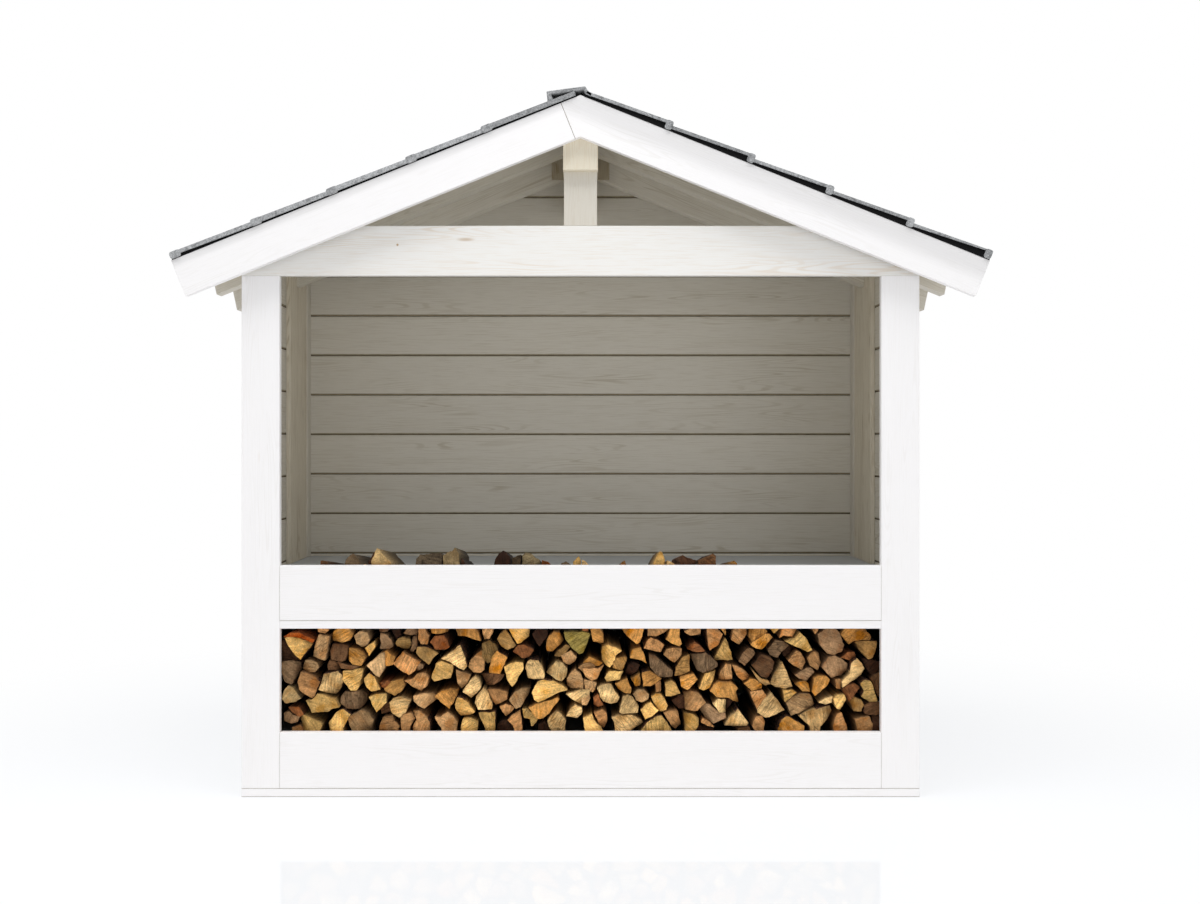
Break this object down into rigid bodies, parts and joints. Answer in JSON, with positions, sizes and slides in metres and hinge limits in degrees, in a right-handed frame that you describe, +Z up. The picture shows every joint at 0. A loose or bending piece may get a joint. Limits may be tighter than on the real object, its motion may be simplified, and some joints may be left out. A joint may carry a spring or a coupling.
{
  "type": "log store",
  "caption": "Open-fronted timber log store with a kick board, a shelf box, a tall upper bay and a felt-shingled gable roof, stacked with split firewood.",
  "frame": {"origin": "on the ground, in the middle of the store's plan", "axes": "+X to the right along the front, -Y out of the open front, +Z up"},
  "size_m": [1.9208, 0.748, 1.669],
  "materials": {
    "white_front_boards": "thin white paint over planed spruce, satin",
    "cream_gable_boards": "thin cream-white stain, grain and knots show",
    "grey_wall_boards": "grey-white stain over grooved spruce boards, matt",
    "roof_timbers": "thin stain over sawn spruce, matt",
    "shelf_panels": "grey painted plywood, matt",
    "felt_shingles": "bitumen felt with grey mineral grit, rough",
    "split_firewood": "raw split wood with sawn ends and bark"
  },
  "bodies": {
    "root": {"base_board": "white_front_boards", "kick_board": "white_front_boards", "floor_ledgers": "roof_timbers", "floor_panel": "shelf_panels", "front_trim_left": "white_front_boards", "front_trim_right": "white_front_boards", "front_stud_left": "roof_timbers", "front_stud_right": "roof_timbers", "side_wall_left": "grey_wall_boards", "side_wall_right": "grey_wall_boards", "back_wall": "grey_wall_boards", "corner_lining_left": "grey_wall_boards", "corner_lining_right": "grey_wall_boards", "shelf_board": "white_front_boards", "shelf_fascia": "white_front_boards", "shelf_ledgers": "roof_timbers", "shelf_panel": "shelf_panels", "collar_board": "cream_gable_boards", "king_post": "cream_gable_boards", "ridge_beam": "cream_gable_boards", "ridge_plate": "roof_timbers", "verge_rafter_front_left": "roof_timbers", "verge_rafter_front_right": "roof_timbers", "middle_rafter_left": "roof_timbers", "middle_rafter_right": "roof_timbers", "rear_rafter_left": "roof_timbers", "rear_rafter_right": "roof_timbers", "verge_rafter_rear_left": "roof_timbers", "verge_rafter_rear_right": "roof_timbers", "roof_deck_left": "roof_timbers", "roof_deck_right": "roof_timbers", "barge_front_left": "white_front_boards", "barge_front_right": "white_front_boards", "barge_rear_left": "white_front_boards", "barge_rear_right": "white_front_boards", "shingles_left": "felt_shingles", "shingles_right": "felt_shingles", "ridge_cap": "felt_shingles", "firewood_stack": "split_firewood", "firewood_on_shelf": "split_firewood"}
  },
  "joints": []
}
